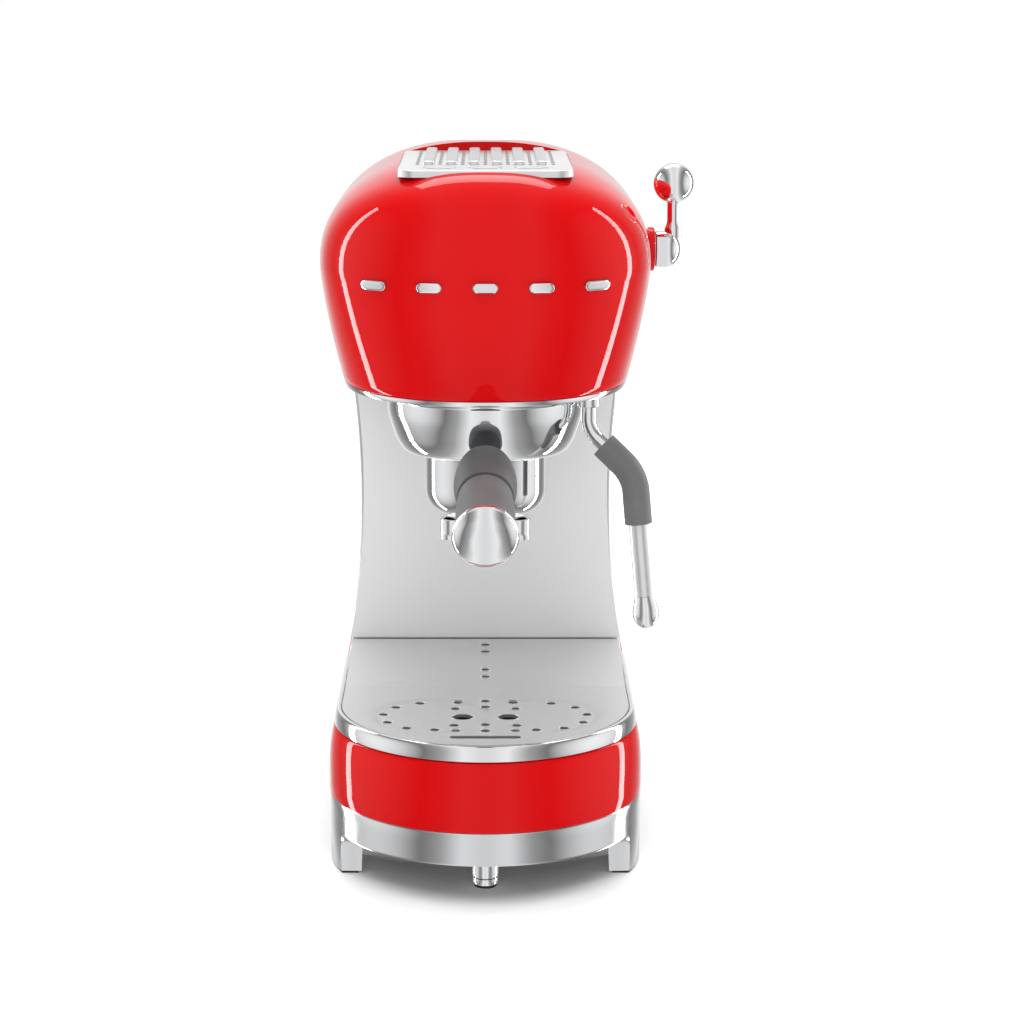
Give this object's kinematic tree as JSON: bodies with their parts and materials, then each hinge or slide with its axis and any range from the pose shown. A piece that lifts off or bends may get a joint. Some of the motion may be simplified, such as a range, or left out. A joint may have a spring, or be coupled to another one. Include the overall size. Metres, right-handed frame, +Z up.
{
  "type": "espresso machine",
  "caption": "Pump coffee machine with a bulbous enamelled head, waisted steel column, bayonet portafilter, steam wand and lever, lift-off drip tray and rear water tank.",
  "frame": {"origin": "centre of the front foot's underside, on the surface the machine stands on", "axes": "+Z up, -Y the front that faces the user, +X the user's right"},
  "size_m": [0.1702, 0.4006, 0.3298],
  "materials": {
    "red_enamel": "gloss",
    "chrome": "polished",
    "satin_chrome": "satin",
    "brushed_steel": "brushed",
    "silver_plastic": "satin",
    "grip_grey": "matte",
    "neck_grey": "matte",
    "dark_plastic": "matte",
    "tray_grey": "matte",
    "rubber": "matte",
    "hose": "satin",
    "zinc_steel": "satin",
    "brass": "machined",
    "copper_pipe": "satin",
    "cast_aluminium": "cast",
    "board_green": "matte",
    "smoked_clear": "clear"
  },
  "bodies": {
    "machine": {"base_skirt": "satin_chrome", "foot_pads": "rubber", "front_foot": "chrome", "base_plate": "dark_plastic", "base_band": "red_enamel", "base_housing": "dark_plastic", "housing_screws": "zinc_steel", "column_shell": "silver_plastic", "column_panel": "brushed_steel", "rear_cover": "dark_plastic", "inner_frame": "zinc_steel", "pump": "dark_plastic", "pump_mounts": "rubber", "head_shell": "red_enamel", "head_underside": "dark_plastic", "head_trim": "chrome", "face_emblem": "chrome", "cup_warmer": "brushed_steel", "control_board": "board_green", "button_domes": "rubber", "lever_collar": "red_enamel", "steam_valve": "brass", "group_collar": "chrome", "group_head": "brass", "group_gasket": "rubber", "shower_screen": "brushed_steel", "shower_screw": "zinc_steel", "wand_nut": "chrome", "thermoblock": "cast_aluminium", "water_hoses": "hose", "steam_pipes": "copper_pipe", "tank_seat": "rubber", "rocker_frame": "dark_plastic", "cord_bushing": "dark_plastic"},
    "drip_tray": {"drip_tray": "tray_grey", "tray_ring": "chrome"},
    "drip_grate": {"drip_grate": "brushed_steel"},
    "portafilter": {"portafilter_body": "chrome", "filter_basket": "brushed_steel", "basket_spring": "zinc_steel", "double_spout": "chrome", "portafilter_neck": "neck_grey", "grip": "grip_grey", "end_cap": "chrome", "tie_rod": "zinc_steel"},
    "steam_wand": {"steam_tube": "chrome", "wand_grip": "grip_grey", "wand_sleeve": "brushed_steel", "wand_tip": "chrome"},
    "steam_lever": {"lever_hub": "chrome", "lever_rod": "chrome", "lever_ball": "chrome"},
    "button_left": {"button_left": "silver_plastic"},
    "button_middle": {"button_middle": "silver_plastic"},
    "button_right": {"button_right": "silver_plastic"},
    "water_tank": {"water_tank": "smoked_clear", "tank_valve": "dark_plastic", "lid_pins": "zinc_steel"},
    "tank_lid": {"tank_lid": "dark_plastic"},
    "power_rocker": {"power_rocker": "dark_plastic"}
  },
  "joints": [
    {"name": "tray_lift", "type": "slide", "parent": "machine", "child": "drip_tray", "axis": [0, 0, 1], "range_m": [0, 0.024]},
    {"name": "grate_lift", "type": "slide", "parent": "drip_tray", "child": "drip_grate", "axis": [0, 0, 1], "range_m": [0, 0.012]},
    {"name": "portafilter_turn", "type": "hinge", "parent": "machine", "child": "portafilter", "pos_m": [0, 0.033, 0.207], "axis": [0, 0, 1], "range_deg": [-45, 0]},
    {"name": "wand_swivel", "type": "hinge", "parent": "machine", "child": "steam_wand", "pos_m": [0.0459, 0.012, 0.22], "axis": [0, 0, 1], "range_deg": [-60, 45]},
    {"name": "lever_turn", "type": "hinge", "parent": "machine", "child": "steam_lever", "pos_m": [0.08, 0.063, 0.2843], "axis": [1, 0, 0], "range_deg": [0, 90]},
    {"name": "button_left_press", "type": "slide", "parent": "machine", "child": "button_left", "axis": [0, 0, -1], "range_m": [0, 0.001], "stiffness_N_per_m": 300},
    {"name": "button_middle_press", "type": "slide", "parent": "machine", "child": "button_middle", "axis": [0, 0, -1], "range_m": [0, 0.001], "stiffness_N_per_m": 300},
    {"name": "button_right_press", "type": "slide", "parent": "machine", "child": "button_right", "axis": [0, 0, -1], "range_m": [0, 0.001], "stiffness_N_per_m": 300},
    {"name": "tank_lift", "type": "slide", "parent": "machine", "child": "water_tank", "axis": [0, 0, 1], "range_m": [0, 0.24]},
    {"name": "lid_hinge", "type": "hinge", "parent": "water_tank", "child": "tank_lid", "pos_m": [0, 0.3019, 0.2992], "axis": [-1, 0, 0], "range_deg": [0, 100]},
    {"name": "rocker_tilt", "type": "hinge", "parent": "machine", "child": "power_rocker", "pos_m": [0.03, 0.2946, 0.05], "axis": [1, 0, 0], "range_deg": [-8, 8]}
  ]
}
